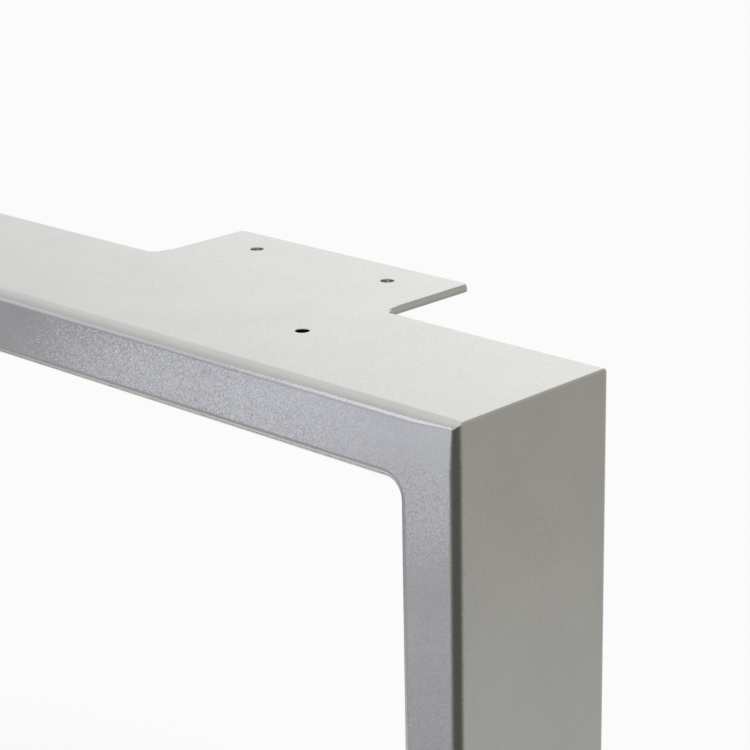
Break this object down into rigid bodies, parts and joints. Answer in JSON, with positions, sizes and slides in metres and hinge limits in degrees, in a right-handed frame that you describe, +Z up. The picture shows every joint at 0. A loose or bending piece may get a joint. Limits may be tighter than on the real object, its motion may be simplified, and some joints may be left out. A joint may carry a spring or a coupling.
{
  "type": "welded steel table leg",
  "caption": "Closed rectangular table leg of mitred rectangular steel tube, with welded screw tabs at the top that hold it to the underside of a table top.",
  "frame": {"origin": "centre of the foot rail's underside", "axes": "+X along the rails, +Y from the frame towards the screw tabs, +Z up towards the table top"},
  "size_m": [0.62, 0.1175, 0.42],
  "materials": {
    "silver_powder_coat": "satin silver-grey metallic powder coat with a fine grain"
  },
  "bodies": {
    "root": {"top_rail": "silver_powder_coat", "foot_rail": "silver_powder_coat", "left_upright": "silver_powder_coat", "right_upright": "silver_powder_coat", "left_mounting_bracket": "silver_powder_coat", "right_mounting_bracket": "silver_powder_coat", "corner_weld_top_left": "silver_powder_coat", "corner_weld_top_right": "silver_powder_coat", "corner_weld_foot_left": "silver_powder_coat", "corner_weld_foot_right": "silver_powder_coat", "left_bracket_weld": "silver_powder_coat", "right_bracket_weld": "silver_powder_coat"}
  },
  "joints": []
}
